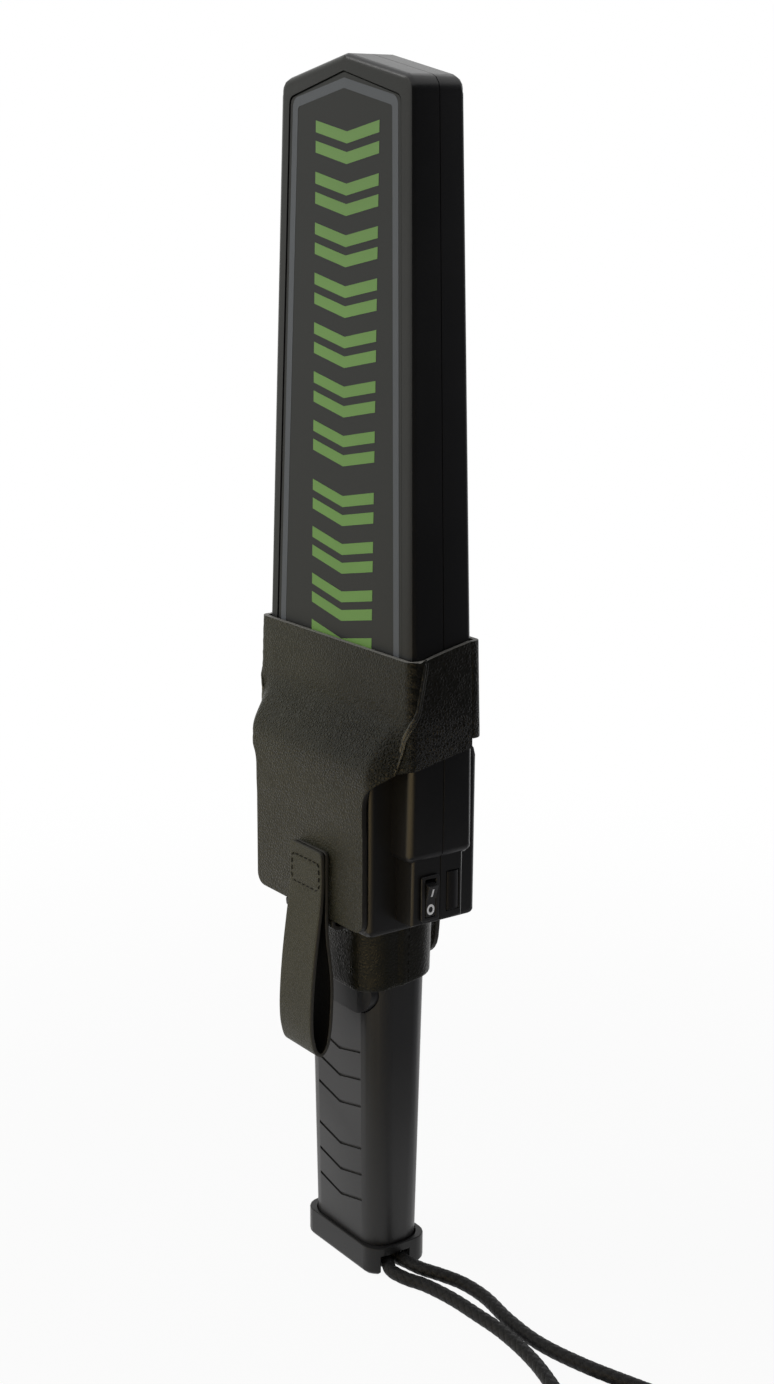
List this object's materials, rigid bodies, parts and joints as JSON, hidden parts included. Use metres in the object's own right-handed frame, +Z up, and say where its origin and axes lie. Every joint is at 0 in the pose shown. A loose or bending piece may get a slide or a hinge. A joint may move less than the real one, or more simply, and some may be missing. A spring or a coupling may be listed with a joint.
{
  "type": "security metal detector wand",
  "caption": "Hand-held metal detector wand with a flat house-shaped search paddle, thick electronics housing, tubular grip, leather belt sleeve and wrist cord.",
  "frame": {"origin": "middle of the end cap's flat bottom, on which the wand stands", "axes": "+Z up along the wand to the paddle's peak, -Y out of the labelled front, +X out of the side with the on-off switch"},
  "size_m": [0.2395, 0.0627, 0.4099],
  "materials": {
    "casing": "fine-grained black moulded plastic with a soft sheen",
    "grip": "satin dark grey moulded plastic",
    "leather": "pebble-grained olive-brown leather with pale cut edges",
    "label": "dark grey printed plate with a light grey border and green bars",
    "steel": "plain bright steel",
    "former": "natural white nylon",
    "copper": "enamelled copper wire",
    "board": "green solder mask",
    "black_plastic": "black moulded plastic",
    "red_plastic": "red wire insulation",
    "paper": "black pressed paper",
    "lamp_red": "clear red epoxy",
    "lamp_amber": "clear amber epoxy",
    "lamp_green": "clear green epoxy",
    "smoked": "smoked grey plastic window",
    "battery": "plain printed steel jacket",
    "foam": "black sponge",
    "cord": "tight black round braid"
  },
  "bodies": {
    "case": {"front_shell": "casing", "rear_shell": "casing", "front_label": "label", "rear_label": "label", "case_screw_1": "steel", "case_screw_2": "steel", "case_screw_3": "steel", "case_screw_4": "steel", "case_screw_5": "steel", "case_screw_6": "steel", "coil_former": "former", "coil_winding": "copper", "coil_lead": "black_plastic", "main_board": "board", "control_chip": "black_plastic", "amplifier_chip": "black_plastic", "capacitor_1": "black_plastic", "capacitor_2": "black_plastic", "coil_socket": "former", "motor_can": "steel", "motor_clip": "steel", "speaker_basket": "black_plastic", "speaker_cone": "paper", "speaker_lead_1": "red_plastic", "speaker_lead_2": "black_plastic", "lamp_red": "lamp_red", "lamp_amber": "lamp_amber", "lamp_green": "lamp_green", "lamp_window": "smoked", "rocker_body": "black_plastic", "rocker_pin": "steel", "switch_lead_1": "red_plastic", "switch_lead_2": "black_plastic", "grip_tube": "grip", "key_switch": "black_plastic", "battery_9v": "battery", "battery_snap": "black_plastic", "battery_lead_red": "red_plastic", "battery_lead_black": "black_plastic", "sleeve_front_panel": "leather", "sleeve_rear_panel": "leather", "side_band_right": "leather", "side_band_left": "leather", "neck_band": "leather", "belt_loop": "leather", "rear_tab": "leather"},
    "rocker": {"rocker": "black_plastic"},
    "thumb_button": {"thumb_button": "grip"},
    "key_plunger": {"key_plunger": "black_plastic"},
    "motor_weight": {"motor_weight": "steel"},
    "end_cap": {"end_cap": "grip", "battery_pad": "foam", "lanyard_pin": "steel", "cord_ferrule": "steel", "wrist_cord": "cord"}
  },
  "joints": [
    {"name": "rocker_tilt", "type": "hinge", "parent": "case", "child": "rocker", "pos_m": [0.0387, -0.00465, 0.1459], "axis": [0, -1, 0], "range_deg": [0, 20]},
    {"name": "thumb_press", "type": "slide", "parent": "case", "child": "thumb_button", "axis": [0, 1, 0], "range_m": [0, 0.0008], "stiffness_N_per_m": 1500, "springref_m": -0.0003},
    {"name": "key_press", "type": "slide", "parent": "case", "child": "key_plunger", "axis": [0, 1, 0], "range_m": [0, 0.0008]},
    {"name": "weight_spin", "type": "hinge", "parent": "case", "child": "motor_weight", "pos_m": [0, -0.0036, 0.176], "axis": [1, 0, 0], "continuous": true},
    {"name": "cap_pull", "type": "slide", "parent": "case", "child": "end_cap", "axis": [0, 0, -1], "range_m": [0, 0.012]}
  ],
  "couplings": [
    {"joint": "key_press", "follows": "thumb_press", "ratio": 1}
  ]
}
